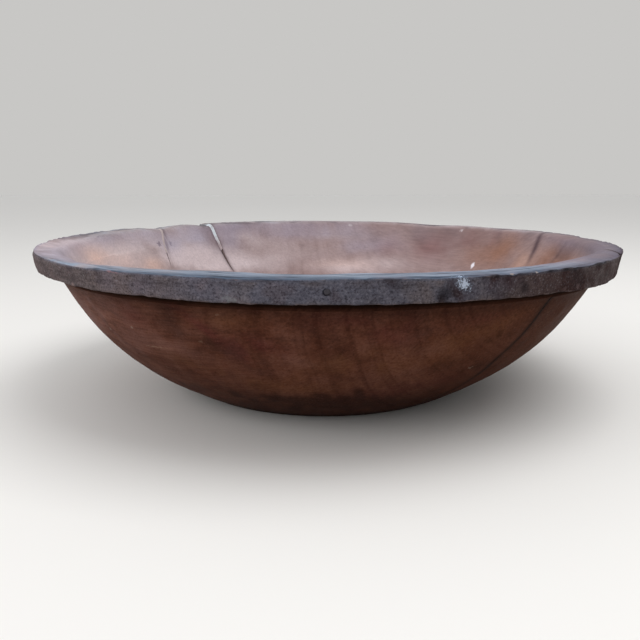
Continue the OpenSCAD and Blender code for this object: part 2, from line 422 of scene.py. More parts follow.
# %% The bowl's closed skin
grid = skin.reshape(-1, 3)
poles = [(-lean(np.pi / 2, FLOOR_T), 0, FLOOR_T - 0.3), (-lean(np.pi / 2, 0), 0, 0)]
first_ring = np.arange(COLUMNS)
last_ring = first_ring + (len(section) - 1) * COLUMNS
bowl = new_mesh("worn_bowl", np.vstack([grid, poles]), [
    grid_faces(len(section), COLUMNS),
    pole_faces(len(grid), first_ring),
    pole_faces(len(grid) + 1, last_ring[::-1]),
])
print("bowl:", len(bowl.data.vertices), "points", len(bowl.data.polygons), "faces")

# %% [markdown]
# Stains, wear, and painted light and shade are put on by place. Some follow the turned form,
# such as the painted shade under the band, and some are single patches where a hand, dough or
# damp left them, or where light or shade is painted in. They could come from noise alone, but
# then no stain would lie where it lies on this bowl. So each is a value from 0 to 1, worked out on
# the grid and stored on the face corners as an attribute that the material reads. Values on
# corners go through the later cuts unharmed.

# %% Zones that follow the turned form
def on_rows(**shares):
    """One value for each row, from the named parts."""
    value = np.zeros(len(section))
    for name, share in shares.items():
        value[is_part[name]] = share if np.isscalar(share) else np.asarray(share)
    return value


lip_fade = ease(np.linspace(0, 1, is_part["lip"].sum()))
outer_top = np.clip((section[:, 0] - 265) / 14, 0, 1)
# Painted shade under the band's overhang: near black on its underside and the collar, fading down the top
# of the wall
shade_below_collar = np.where(is_part["wall"], bell((COLLAR_LOW_Z - height) / 9) * 0.42, 0)
zones = {
    "zone_hollow": on_rows(dish=1, hollow=1, lip=1, top=1, edge=1),
    "zone_top": on_rows(lip=lip_fade, top=1, edge=ease(np.linspace(1.3, 0.2, 6))),
    "zone_band": on_rows(edge=ease(np.linspace(0, 1.2, 6)), face=1, arris=1,
                         under=np.linspace(0.8, 0.2, 4)),
    "shade_under_band": shade_below_collar + on_rows(arris=np.linspace(0, 0.3, 6), under=np.linspace(0.7, 1, 4),
                                          collar=(1, 1, 0.95, 0.85, 0.72, 0.7)),
    "zone_outer": np.where(top_rows, outer_top, 0),
    "crest_highlight": bell((section[:, 0] - 262) / 3.2) * (is_part["lip"] | is_part["top"]),
    "zone_arris": np.clip(edge_share + arris_share, 0, 1),
    # Painted shade at the foot and the sole, where the bowl meets the floor
    "foot_shade": on_rows(heel=1, sole=1) + np.where(is_part["wall"], bell(height / 15), 0),
    "roughness": on_rows(dish=0.56, hollow=0.56, lip=0.5, top=0.42, edge=0.5, face=0.68, arris=0.7,
                         under=0.95, collar=0.95, wall=0.62, heel=0.8, sole=0.9),
}
print("zones:", sorted(zones))

# %% Arcs of the rim
az = apart(angles, 0)
inner_top = 1 - outer_top[:, None]


def arc(start, fade_in, end, fade_out):
    """1 between two directions in degrees, eased in after the first and out before the second."""
    return ease((az - start) / fade_in) * ease((end - az) / fade_out)


# The flat top takes a cool blue grey along the front and less at the back: painted reflection of the
# bright room on its rubbed face
front = arc(-158 + 20 * inner_top, 20, -24 - 22 * inner_top, 20) + 0.85 * arc(12, 20, 178, 14)
# The crest of the lip carries a painted highlight at the front, strongest on the left
crest = arc(-142, 20, -50, 20) * (0.3 + 0.7 * ease((-88 - az) / 14))
fields = {name: np.repeat(value[:, None], COLUMNS, 1) for name, value in zones.items()}
fields["zone_top"] *= front
fields["zone_outer"] *= 0.25 + 0.75 * ease((az + 135) / 25)
fields["crest_highlight"] *= crest
print("share of the flat top that is rubbed:", front[top_rows].mean().round(2))

# %% Patches with ragged edges
spot_mm = np.stack([section[:, None, 0] * np.cos(angles), section[:, None, 0] * np.sin(angles),
                    np.repeat(height[:, None], COLUMNS, 1)], -1)
ragged = drift(spot_mm, 26, 21) + 0.6 * drift(spot_mm, 11, 22)
ragged = np.clip(ragged * np.where(inside, 0.1, 0.42)[:, None], -0.5, 0.9)


def patches(part_names, table):
    """Sum of soft ellipses, bells of the distance in half sizes, their edges made ragged. Each row
    is a direction, height, half length, half width in mm, tilt in degrees and strength."""
    chosen = np.isin(part_of, part_names)
    facing = -1 if "hollow" in part_names else 1
    order = np.argsort(height[chosen])
    total = np.zeros((len(section), COLUMNS))
    for direction, z, long_half, wide_half, tilt, strength in table:
        run_at = np.interp(z, height[chosen][order], run[chosen][order])
        u = facing * apart(angles, direction) * np.pi / 180 * section[chosen][:, :1]
        v = -facing * (run[chosen] - run_at)[:, None] + 0 * u
        c, s = np.cos(np.radians(tilt)), np.sin(np.radians(tilt))
        gap = np.hypot((u * c + v * s) / long_half, (v * c - u * s) / wide_half)
        total[chosen] += strength * bell(gap * (1 + ragged[chosen]))
    return total


OUTSIDE, HOLLOW = ["wall", "collar"], ["hollow", "lip", "top"]
BAND, TOP = ["face", "arris", "edge"], ["top", "edge", "lip"]
stains = {}
print("ragged from", ragged.min().round(2), "to", ragged.max().round(2))

# %% Dark stains from damp, smoke and old grease, with painted shade low on the wall near the foot, on the right side and just under the band
stains["stain_dark"] = patches(OUTSIDE, [
    (-117, 104, 12, 13, 0, 0.75), (-110, 90, 13, 6, -30, 0.85), (-98, 33, 50, 10, -4, 1.0),
    (-58, 60, 10, 3, 18, 0.9), (-60, 84, 8, 2.5, 30, 0.6), (-53.5, 89, 9, 2.5, 30, 0.6),
    (-78, 22, 80, 13, 0, 1.0), (-75, 26, 110, 16, 0, 0.7), (-88, 34, 50, 12, 0, 0.5),
    (-60, 40, 50, 18, 10, 0.5), (-122, 30, 30, 8, 10, 0.5), (20, 60, 40, 16, 20, 0.6),
    (-34, 96, 60, 40, 0, 0.5), (80, 90, 50, 14, -15, 0.6), (150, 70, 40, 20, 25, 0.5),
    (-160, 60, 30, 12, -20, 0.4), (-70, 116, 90, 9, 0, 0.35), (-42, 108, 40, 24, 0, 0.6),
    (-88, 90, 9, 16, 0, 0.3), (-103, 66, 16, 5, -30, 0.4), (-92, 102, 12, 4, -20, 0.4),
    (-74, 98, 10, 5, -10, 0.3), (-66, 66, 26, 4, 12, 0.35), (-84, 60, 20, 4, -16, 0.35),
    (-128, 58, 14, 4, -30, 0.4), (-50, 74, 14, 3, 24, 0.4), (-20, 60, 60, 30, 0, 0.5),
]) + patches(HOLLOW, [
    (19, 131, 3.8, 26, 12, 1.0), (24, 143, 12, 5, 0, 0.4), (60, 126, 14, 8, 0, 0.25),
    (75, 122, 8, 6, 0, 0.25), (-174, 135, 6, 12, 10, 0.15), (60, 141, 26, 4, 0, 0.3),
    (47, 128, 60, 12, 0, 0.2), (6, 128, 22, 14, 0, 0.5), (-90, 80, 60, 24, 10, 0.2),
    (-30, 60, 40, 30, 20, 0.3), (72, 132, 14, 4, 20, 0.3), (50, 137, 18, 5, 0, 0.35),
    (34, 136, 4, 14, 20, 0.3), (8, 126, 3, 16, 0, 0.3), (84, 130, 20, 5, 0, 0.25),
    (98, 113, 4, 3, 0, 0.3),
]) + patches(BAND, [
    (-73.9, 134, 5, 5, 0, 0.9), (-60.5, 134, 4, 4, 0, 0.8), (-80, 138, 8, 3, 0, 0.4),
    (-114, 137, 5, 3, 0, 0.4), (-97, 131, 6, 4, 0, 0.2), (-16, 135, 40, 20, 0, 0.45),
    (10, 136, 20, 6, 0, 0.5), (95, 135, 25, 6, 0, 0.5), (-48, 138, 12, 5, 0, 0.4),
    (-50, 144.5, 70, 1.2, 0, 0.9), (-20, 144.5, 90, 1.4, 0, 0.9), (-76, 144.5, 16, 0.9, 0, 0.3),
])
print("dark on", (stains["stain_dark"] > 0.3).mean().round(3), "of the skin")

# %% Red stains: the wood's own colour, where the oil soaked in
stains["stain_red"] = patches(OUTSIDE, [
    (-110, 98, 36, 6, -48, 0.9), (-101, 90, 14, 9, -20, 0.8), (-86, 112, 24, 8, -6, 0.6),
    (-79, 97, 22, 9, -20, 0.6), (-78, 37, 26, 12, 0, 0.5), (40, 80, 40, 14, 20, 0.5),
    (-62, 108, 30, 6, 10, 0.4), (120, 90, 36, 12, -10, 0.5), (-126, 104, 14, 9, 0, 0.6),
    (-66, 46, 40, 10, 6, 0.4),
]) + patches(HOLLOW, [
    (56, 118, 26, 20, 0, 0.8), (44, 130, 20, 12, 0, 0.5), (-178, 132, 12, 12, 0, 0.3),
    (70, 112, 16, 14, 0, 0.4), (36, 134, 12, 10, 0, 0.4),
])
print("red on", (stains["stain_red"] > 0.3).mean().round(3), "of the skin")

# %% Warm stains: honey brown where the finish is thin, and peach where dough kept the wood clean
stains["stain_warm"] = patches(OUTSIDE, [
    (-106, 110, 18, 8, 0, 0.6), (-97, 48, 34, 14, -6, 0.7), (-57, 106, 34, 10, 24, 0.8),
    (-70, 75, 60, 14, 8, 0.45), (-66, 92, 50, 9, 10, 0.5), (0, 90, 50, 20, 10, 0.5),
    (100, 60, 60, 20, 0, 0.5), (-90, 70, 20, 12, 0, 0.4), (-82, 84, 12, 8, 20, 0.4),
    (-120, 70, 26, 10, -20, 0.5), (-40, 92, 12, 26, 0, 0.5),
]) + patches(HOLLOW, [
    (30, 124, 20, 24, -10, 0.8), (38, 112, 30, 22, -10, 0.6), (12, 126, 14, 22, -10, 0.45),
    (0, 110, 60, 40, 0, 0.6), (6, 118, 24, 16, 0, 0.4), (20, 110, 18, 14, 0, 0.5),
])
stains["stain_peach"] = patches(HOLLOW, [
    (174, 124, 28, 14, 0, 0.9), (163, 113, 24, 12, 0, 0.5), (152, 104, 18, 10, 0, 0.8),
    (20, 112, 16, 12, 0, 0.4), (184, 138, 44, 12, 0, 0.3), (190, 145, 60, 14, 0, 0.3),
    (84, 90, 40, 8, 0, 0.3),
])
print("warm on", (stains["stain_warm"] > 0.3).mean().round(3), "of the skin")

# %% Pale patches: bare wood rubbed thin by hands outside and by scrubbing in the hollow, and painted light towards the left of both
stains["stain_pale"] = patches(OUTSIDE, [
    (-150, 92, 40, 40, 0, 0.8), (-128, 84, 34, 18, 0, 0.5), (-170, 100, 30, 30, 0, 0.6),
    (-133, 110, 20, 12, 0, 0.5), (-118, 78, 18, 10, -10, 0.35), (-95, 76, 10, 5, -20, 0.4),
    (-72, 84, 14, 5, 10, 0.3),
]) + patches(HOLLOW, [
    (165, 118, 70, 26, 0, 1.0), (139, 112, 40, 22, 0, 1.0), (128, 104, 36, 20, 0, 0.7),
    (104, 104, 60, 18, 0, 0.35), (84, 86, 30, 10, 0, 0.6), (112, 120, 30, 8, 0, 0.35),
    (110, 90, 30, 12, 0, 0.4), (124, 95, 40, 18, 0, 0.7), (-160, 110, 60, 40, 0, 0.7),
    (150, 136, 34, 10, 0, 0.7), (176, 128, 44, 24, 0, 0.8), (-130, 80, 110, 50, 0, 0.6),
    (70, 92, 36, 14, 0, 0.5), (185, 142, 60, 16, 0, 0.9), (134, 134, 22, 12, 0, 0.45),
    (116, 128, 16, 8, 0, 0.5), (86, 128, 40, 10, 0, 0.3),
])
print("pale on", (stains["stain_pale"] > 0.3).mean().round(3), "of the skin")

# %% Cool grey: weathered grey on the band, and high in the hollow and on the flat top partly weathered grey, partly painted bluish sheen
stains["stain_cool"] = patches(HOLLOW, [
    (132, 132, 22, 14, 0, 0.9), (142, 122, 16, 14, 0, 0.4), (120, 138, 44, 9, 0, 0.7),
    (101, 134, 50, 12, 0, 0.8), (84, 134, 30, 12, 0, 0.6), (148, 136, 40, 9, 0, 0.7),
    (8, 138, 30, 7, 0, 0.6), (60, 134, 30, 7, 0, 0.3), (-176, 141, 40, 6, 0, 0.4),
    (80, 112, 24, 10, 0, 0.4), (140, 126, 20, 8, 0, 0.4), (122, 122, 18, 14, 0, 0.6),
    (72, 118, 30, 12, 0, 0.4), (165, 139, 40, 7, 0, 0.5),
]) + patches(BAND, [
    (-88, 135, 90, 14, 0, 1.0), (-108, 135, 60, 14, 0, 0.7), (-70, 135, 30, 14, 0, 0.6),
]) + patches(TOP, [
    (-90, 145, 260, 60, 0, 1.0), (-60, 145, 60, 60, 0, 0.6), (-165, 145, 120, 60, 0, 0.7),
])
print("cool on", (stains["stain_cool"] > 0.3).mean().round(3), "of the skin")

# %% Painted shade on the right side, outside and on the flat top, and the two tones of the band, with painted shade on its right and painted light on its left
stains["stain_deep"] = np.isin(part_of, OUTSIDE)[:, None] * arc(-78, 40, 70, 50) + patches(TOP, [
    (-22, 145, 170, 60, 0, 1.0),
])
stains["band_warm"] = patches(BAND, [
    (-8, 135, 150, 30, 0, 1.0), (-56, 135, 60, 30, 0, 0.6), (-160, 135, 70, 30, 0, 0.6),
    (-48, 130, 22, 5, 0, 0.4), (-20, 135, 60, 30, 0, 0.6), (60, 135, 200, 30, 0, 0.7),
])
stains["band_light"] = patches(BAND, [
    (-160, 135, 90, 30, 0, 0.8), (-120, 135, 60, 30, 0, 0.5), (-103, 130, 9, 4, -12, 0.6),
])
print("deep on", (stains["stain_deep"] > 0.3).mean().round(3), "of the skin")

# %% Dirt and painted shade beside the splits
spot_side, spot_along = spot_mm[..., :2] @ ACROSS, spot_mm[..., :2] @ ALONG
spot_z = spot_mm[..., 2]
behind, ahead = spot_along < 0, spot_along > 0
on_rim = (spot_along > 257) * np.isin(part_of, ["top", "edge", "face"])[:, None]


def check_side(z):
    """How far across the grain the check in the outer wall runs, at a height."""
    return CHECK_ACROSS - 4.5 * bell((z - 64) / 15) + 1.0 * ease((40 - z) / 30)


def beside(course, z):
    """Gap across the grain to the line of a split, in mm, without its wander."""
    line = course["across"] + course["slant"] * (spot_along - RIM_R) + course["tilt"] * (BOWL_H - z)
    return spot_side - line


# Each row is the gap in mm, the half width of the dirt and painted shade, and its strength
SPLITS_DIRT_AND_SHADE = [
    (beside(REAR, spot_z), 2.6, 0.75 * behind * ease((spot_z - 78) / 12)),
    # A soft painted shade on the left of the open split
    (beside(REAR, spot_z) + 7, 9, 0.25 * behind * ease((spot_z - 90) / 30)),
    (beside(LEFT, spot_z) - 2.6, 1.9,
     (0.25 + 0.4 * ease((spot_z - 112) / 12)) * behind * ease((spot_z - 92) / 12)),
    (spot_side - check_side(spot_z), 3.4, ahead * ~inside[:, None] * (spot_z < 122) * (spot_z > 4)),
    (beside(RIGHT, BOWL_H), 3.6, 0.8 * on_rim),
]
stains["stain_split"] = sum(bell(gap / width) * strength for gap, width, strength in SPLITS_DIRT_AND_SHADE)
print("dirt on", (stains["stain_split"] > 0.3).mean().round(4), "of the skin")

# %% Store zones and stains on the face corners
fields.update({name: np.clip(value, 0, 1) for name, value in stains.items()})
corner_point = np.zeros(len(bowl.data.loops), np.int32)
bowl.data.loops.foreach_get("vertex_index", corner_point)
for name, field in fields.items():
    pole_values = [field[0].mean(), field[-1].mean()]
    value = np.concatenate([field.reshape(-1), pole_values])[corner_point].astype(np.float32)
    bowl.data.attributes.new(name, "FLOAT", "CORNER").data.foreach_set("value", value)
print("painted:", sorted(fields))

# %% [markdown]
# Wood splits along its grain as it dries. Each split is a thin wedge, widest at the rim, that
# wanders a little between the fibres. A dark line in the material would look right only from
# afar. So the splits are cut out of the skin with wavy wedges, by boolean modifiers: their walls
# are real, their dark is the dark of a real gap, widened by painted shade beside it, and the cut
# wood gets its own material.

# %% Wedges for the splits
def prism(sections):
    """A closed tube through equal rings of points, one after another, with flat ends."""
    sections = np.asarray(sections, float)
    count, corners = sections.shape[:2]
    first_end = np.arange(corners)[None, :]
    last_end = first_end[:, ::-1] + (count - 1) * corners
    return sections.reshape(-1, 3), [grid_faces(count, corners), first_end, last_end]


def split_middle(along, z, across, slant, tilt, wander, seed):
    """How far across the grain the middle of a split lies, at a place along it and a height."""
    place = np.stack([along, z, 0 * z], -1)
    return across + slant * (along - RIM_R) + tilt * (BOWL_H - z) + wander * drift(place, 34, seed)


def split_half(z, mouth, depth):
    """Half the opening at a height: half the mouth times the root of the share of its depth."""
    return mouth / 2 * np.sqrt(np.clip((z - BOWL_H + depth) / depth, 0, 1.1)) + 0.05


def wedge(near, far, mouth, depth, end, closes=0.0, **course):
    """A wavy wedge: rings down one side of the split and up the other; it closes at that place."""
    along = np.linspace(near, far, 70)[:, None]
    z = np.linspace(BOWL_H + 2, BOWL_H - depth, 26)[None, :]
    along, z = np.broadcast_arrays(along, z)
    middle = split_middle(along, z, **course)
    half = split_half(z, mouth, depth) * (0.04 + 0.96 * ease((along - closes) / 12))
    sides = []
    for way, order in ((-1, slice(None)), (1, slice(None, None, -1))):
        flat = end * along[..., None] * ALONG + (middle + way * half)[..., None] * ACROSS
        sides.append(np.concatenate([flat, z[..., None]], -1)[:, order])
    return prism(np.concatenate(sides, 1))


REAR_MOUTH, REAR_DEPTH = 3.5, 62.0
LEFT_MOUTH, LEFT_DEPTH = 2.0, 46.0
RIGHT_MOUTH, RIGHT_DEPTH = 1.8, 26.0
wedges = {
    "rear_gap": wedge(150, 292, REAR_MOUTH, REAR_DEPTH, -1, **REAR),
    "left_gap": wedge(170, 292, LEFT_MOUTH, LEFT_DEPTH, -1, **LEFT),
    "right_gap": wedge(252, 292, RIGHT_MOUTH, RIGHT_DEPTH, 1, closes=254, **RIGHT),
}
print("wedges:", {name: len(points) for name, (points, faces) in wedges.items()}, "points")


def wall_check(steps=90, low=0.24):
    """A thin groove down the outer wall: at each height a sliver square to the wall, its depth the
    root of the share of the way up."""
    t = np.linspace(low, 1.0, steps)
    wall = outer_wall(t)
    slope = np.gradient(wall, axis=0)
    out = np.stack([slope[:, 1], -slope[:, 0]], 1) / np.linalg.norm(slope, axis=1, keepdims=True)
    depth = 6.5 * np.sqrt(np.linspace(0, 1, steps)) + 0.4
    half = np.interp(t, [low, 0.4, 1.0], [0.25, 0.45, 0.6])
    across = check_side(wall[:, 1]) + 0.6 * drift(np.stack([wall[:, 1], t, t], -1), 22, 34)
    corners = []
    for push, width in ((2.0, 1.3), (2.0, -1.3), (-depth, -0.12), (-depth, 0.12)):
        r, z = wall[:, 0] + out[:, 0] * push, wall[:, 1] + out[:, 1] * push
        side = across + width * half
        along = np.sqrt(r**2 - side**2)
        shift = np.stack([lean(GRAIN_ANGLE, z), 0 * z], -1)
        flat = along[:, None] * ALONG + side[:, None] * ACROSS - shift
        corners.append(np.concatenate([flat, z[:, None]], -1))
    return prism(np.stack(corners, 1))


wedges["wall_gap"] = wall_check()
print("check:", len(wedges["wall_gap"][0]), "points")

# %% [markdown]
# Materials come before the cuts, because the walls of a split show torn wood and the skin shows
# the finish. The wood is a pale, even hardwood such as maple or beech. It was turned, oiled and
# handled until the outside went dark brown. The hollow was scrubbed, so it is greyer and paler.
# The band has been knocked and blackened, and its flat top is rubbed smooth, with its cool grey shine
# painted into the colour as a painted reflection.
#
# A photograph of wood as a texture would bring its own bowl with it. Layers of noise on object
# coordinates, at the sizes that real wood has, fit this one and hold from every side.

# %% Colours and the node helper
def linear(code):
    """An sRGB hex colour as the linear numbers that a shader wants."""
    part = np.array([int(code[i : i + 2], 16) for i in (1, 3, 5)]) / 255
    part = np.where(part <= 0.04045, part / 12.92, ((part + 0.055) / 1.055) ** 2.4)
    return (*part.tolist(), 1.0)


def add(tree, kind, links=None, **settings):
    """Adds a node with its settings, and fills its sockets with values or other nodes' outputs."""
    node = tree.nodes.new(kind)
    for name, value in settings.items():
        setattr(node, name, value)
    for socket, value in (links or {}).items():
        if isinstance(value, bpy.types.NodeSocket):
            tree.links.new(value, node.inputs[socket])
        else:
            node.inputs[socket].default_value = value
    return node


def new_material(name):
    """A material with a Principled surface; returns the material, its tree and the surface node."""
    material = bpy.data.materials.new(name)
    material.use_nodes = True
    tree = material.node_tree
    return material, tree, tree.nodes["Principled BSDF"]


def coats(tree, colour, table):
    """Lays colours over one another. A row is the pattern, where its coat starts and where it is
    full, how much it covers there, and its colour."""
    for pattern, start, full, cover, over in table:
        share = add(tree, "ShaderNodeMapRange", {0: pattern, 1: start, 2: full, 4: cover}).outputs[0]
        over = linear(over) if isinstance(over, str) else over
        colour = add(tree, "ShaderNodeMix", {0: share, 6: colour, 7: over}, data_type="RGBA").outputs[2]
    return colour


def dress(tree, surface, colour, shine, bumps):
    """Links a colour, a roughness and bumps to a surface; a bump is a height, a depth in mm and a
    strength, and each lies over the one before."""
    relief = {}
    for height_of, depth_mm, strength in bumps:
        bump = {"Height": height_of, "Distance": depth_mm * MM, "Strength": strength, **relief}
        relief = {"Normal": add(tree, "ShaderNodeBump", bump).outputs[0]}
    tree.links.new(relief["Normal"], surface.inputs["Normal"])
    tree.links.new(colour, surface.inputs["Base Color"])
    tree.links.new(shine, surface.inputs["Roughness"])


print("mid grey #808080 is", round(linear("#808080")[0], 3), "as light")

# %% Oiled turned hardwood: its places
# It gives the eye a soft satin sheen over deep brown, with the log's rings showing through.
turned_wood, tree, surface = new_material("oiled_turned_hardwood")
place = add(tree, "ShaderNodeTexCoord").outputs["Object"]
grain = add(tree, "ShaderNodeMapping", {"Vector": place, "Rotation": (0, 0, -GRAIN_ANGLE)}).outputs[0]
zone = {name: add(tree, "ShaderNodeAttribute", attribute_name=name).outputs["Fac"] for name in fields}
print("zones read by the material:", len(zone))

# %% Oiled turned hardwood: yearly rings and fibres
# The heart of the log lay a hand's breadth above the rim, so the yearly rings are long barrels
# round a line along the grain. Their distance from that line, in metres, drives one noise.
HEART_Z = 0.215
WOBBLE_MM, WOBBLE_BY_MM, BARREL = 200, 30, 0.04
wobble = add(tree, "ShaderNodeTexNoise", {
    "Vector": grain, "Scale": 1000 / WOBBLE_MM, "Detail": 2.0}).outputs["Color"]
moved = add(tree, "ShaderNodeVectorMath", {0: wobble, "Scale": WOBBLE_BY_MM * MM},
            operation="SCALE").outputs[0]
bent = add(tree, "ShaderNodeVectorMath", {0: grain, 1: moved}, operation="ADD").outputs[0]
log_place = add(tree, "ShaderNodeMapping", {
    "Vector": bent, "Location": (0, 0, -HEART_Z), "Scale": (BARREL, 1, 1)}).outputs[0]
ring_at = add(tree, "ShaderNodeVectorMath", {0: log_place}, operation="LENGTH").outputs["Value"]

# Rings of a slow-grown tree are 2 mm wide, and fibres a tenth of that. Both are too fine for
# the picture, so they are drawn coarser.
RING_MM, BROAD_RING_MM, FIBRE_MM, FIBRE_LONG_MM = 5.5, 22, 2.2, 60
rings = add(tree, "ShaderNodeTexNoise", {
    "W": ring_at, "Scale": 1000 / RING_MM, "Detail": 2.0, "Roughness": 0.6},
    noise_dimensions="1D").outputs["Fac"]
broad_rings = add(tree, "ShaderNodeTexNoise", {
    "W": ring_at, "Scale": 1000 / BROAD_RING_MM, "Detail": 1.0}, noise_dimensions="1D").outputs["Fac"]
fibre_place = add(tree, "ShaderNodeMapping", {
    "Vector": bent, "Scale": (1000 / FIBRE_LONG_MM, 1000 / FIBRE_MM, 1000 / FIBRE_MM)}).outputs[0]
fibres = add(tree, "ShaderNodeTexNoise", {
    "Vector": fibre_place, "Scale": 1.0, "Detail": 3.0, "Roughness": 0.65}).outputs["Fac"]
print("rings per metre:", round(1000 / RING_MM))

# %% Oiled turned hardwood: clouds, mottle, grit and rubbing
# Grit is finer than half a millimetre on the bowl, and is drawn coarser as well.
CLOUD_MM, MOTTLE_MM, RUB_MM, GRIT_MM, SPECK_MM = 70, 18, 9, 1.6, 3.2
clouding = {
    "cloud": (place, CLOUD_MM, 4.0, 0.55),
    "mottle": (grain, MOTTLE_MM, 5.0, 0.6),
    "rub": (place, RUB_MM, 4.0, 0.7),
    "grit": (place, GRIT_MM, 3.0, 0.7),
}
cloud, mottle, rub, grit = [
    add(tree, "ShaderNodeTexNoise", {
        "Vector": where, "Scale": 1000 / size, "Detail": detail, "Roughness": rough}).outputs["Fac"]
    for where, size, detail, rough in clouding.values()
]
speck = add(tree, "ShaderNodeTexVoronoi", {
    "Vector": place, "Scale": 1000 / SPECK_MM, "Randomness": 1.0}).outputs["Distance"]
rubbed = add(tree, "ShaderNodeMath", {0: zone["zone_arris"], 1: rub}, operation="MULTIPLY").outputs[0]
print("patterns:", list(clouding))

# %% Oiled turned hardwood: turning lines
# The gouge and the rubbing hands left fine lines that run round the turning axis. A noise gets
# the direction from the axis, and the radius less the height, which changes across every face.
# Real tool lines are half a millimetre apart, and are drawn coarser.
LINE_MM, LINE_LONG_MM = 5.0, 70
axes = add(tree, "ShaderNodeSeparateXYZ", {0: place})
flat = add(tree, "ShaderNodeCombineXYZ", {0: axes.outputs[0], 1: axes.outputs[1]}).outputs[0]
radius = add(tree, "ShaderNodeVectorMath", {0: flat}, operation="LENGTH").outputs["Value"]
facing = add(tree, "ShaderNodeVectorMath", {0: flat}, operation="NORMALIZE").outputs[0]
facing = add(tree, "ShaderNodeVectorMath", {0: facing, "Scale": RIM_R / LINE_LONG_MM},
             operation="SCALE").outputs[0]
facing = add(tree, "ShaderNodeSeparateXYZ", {0: facing})
down = add(tree, "ShaderNodeMath", {0: radius, 1: axes.outputs[2]}, operation="SUBTRACT").outputs[0]
down = add(tree, "ShaderNodeMath", {0: down, 1: 1000 / LINE_MM}, operation="MULTIPLY").outputs[0]
line_place = add(tree, "ShaderNodeCombineXYZ", {
    0: facing.outputs[0], 1: facing.outputs[1], 2: down}).outputs[0]
lines = add(tree, "ShaderNodeTexNoise", {
    "Vector": line_place, "Scale": 1.0, "Detail": 4.0, "Roughness": 0.7}).outputs["Fac"]
print("nodes that place the patterns:", len(tree.nodes))

# %% [markdown]
# Old finishes are layers, so the colours are laid on as coats: each is a pattern, the part of
# it where the coat shows, how much it covers, and its colour. The outside, the hollow, the flat
# top and the band each get their own coats, and then meet by zone. One mixed brown would be
# quicker, but the four faces of this bowl have aged in four ways.

# %% Coats outside: oil, smoke and hands turned it a deep brown, with painted shade darker and redder on its right side
outside = coats(tree, linear("#5d382b"), [
    (cloud, 0.3, 0.7, 1.0, "#754e41"),
    (mottle, 0.42, 0.7, 0.5, "#7e5a52"),
    (mottle, 0.46, 0.28, 0.5, "#3f211b"),
    (broad_rings, 0.42, 0.7, 0.3, "#45251f"),
    (rings, 0.5, 0.72, 0.45, "#3c1f17"),
    (lines, 0.5, 0.7, 0.4, "#361b14"),
    (zone["stain_warm"], 0, 1, 0.5, "#845a40"),
    (zone["stain_red"], 0, 1, 0.6, "#5f2f30"),
    (zone["stain_dark"], 0, 1, 0.75, "#2c1813"),
    # Painted shade on the right side, darker and redder
    (zone["stain_deep"], 0, 1, 0.8, "#4a240f"),
    (zone["stain_pale"], 0, 1, 0.6, "#8c6a66"),
    (grit, 0.52, 0.68, 0.35, "#2a1409"),
    (grit, 0.42, 0.3, 0.25, "#84635a"),
])
print("nodes with the outside:", len(tree.nodes))

# %% Coats in the hollow: scrubbed and floured for years, so the wood is bare, greyish and pale
hollow = coats(tree, linear("#8a7472"), [
    (cloud, 0.36, 0.64, 1.0, "#9a8685"),
    (mottle, 0.4, 0.7, 0.4, "#a99697"),
    (broad_rings, 0.42, 0.7, 0.2, "#7d6663"),
    (rings, 0.5, 0.75, 0.25, "#6b5552"),
    (zone["stain_pale"], 0, 1, 0.85, "#d6c8cb"),
    (zone["stain_cool"], 0, 1, 0.72, "#a6a2b6"),
    (zone["stain_warm"], 0, 1, 0.85, "#946c59"),
    (zone["stain_peach"], 0, 1, 0.72, "#e4c1b2"),
    (zone["stain_red"], 0, 1, 0.7, "#80595a"),
    (zone["stain_deep"], 0, 1, 0.85, "#6a6270"),
    (zone["zone_outer"], 0.3, 1.0, 0.62, "#494a5e"),
    (zone["stain_dark"], 0, 1, 0.85, "#40303a"),
    (grit, 0.55, 0.7, 0.2, "#6d5a5a"),
])
print("nodes with the hollow:", len(tree.nodes))

# %% Coats on the flat top: a painted steely blue sheen, darker towards the outer edge, streaked round the rim, and a painted highlight along the crest
flat_top = coats(tree, linear("#9c9092"), [
    (mottle, 0.35, 0.65, 1.0, "#b0a5a8"),
    (zone["stain_cool"], 0, 1, 0.9, "#8090a5"),
    (zone["zone_outer"], 0.25, 0.95, 0.85, "#465467"),
    (lines, 0.5, 0.62, 0.85, "#2d3646"),
    (lines, 0.46, 0.34, 0.5, "#b3bfd0"),
    (zone["stain_deep"], 0, 1, 0.5, "#918895"),
    (zone["crest_highlight"], 0.2, 0.9, 0.75, "#cdbfc1"),
    (zone["stain_dark"], 0.2, 0.9, 0.95, "#15151b"),
])
print("nodes with the flat top:", len(tree.nodes))

# %% Coats on the band: knocked, smoked and gritty, bluish in the middle, browner at the ends, with painted shade on its right and painted light on its left
band = coats(tree, linear("#625b5e"), [
    (mottle, 0.35, 0.65, 1.0, "#726a6d"),
    (zone["stain_cool"], 0, 1, 0.75, "#646a7f"),
    (zone["band_warm"], 0, 1, 0.9, "#3a2321"),
    (zone["band_light"], 0, 1, 0.5, "#87767a"),
    (grit, 0.5, 0.66, 0.65, "#28242c"),
    (grit, 0.44, 0.3, 0.4, "#9498a8"),
    (mottle, 0.45, 0.3, 0.4, "#2d2930"),
    (speck, 0.16, 0.02, 0.5, "#1b1819"),
    (lines, 0.52, 0.7, 0.35, "#2b2526"),
    (zone["stain_dark"], 0, 1, 0.85, "#18151a"),
    (rubbed, 0.46, 0.56, 0.55, "#8a7c80"),
])
print("nodes with the band:", len(tree.nodes))

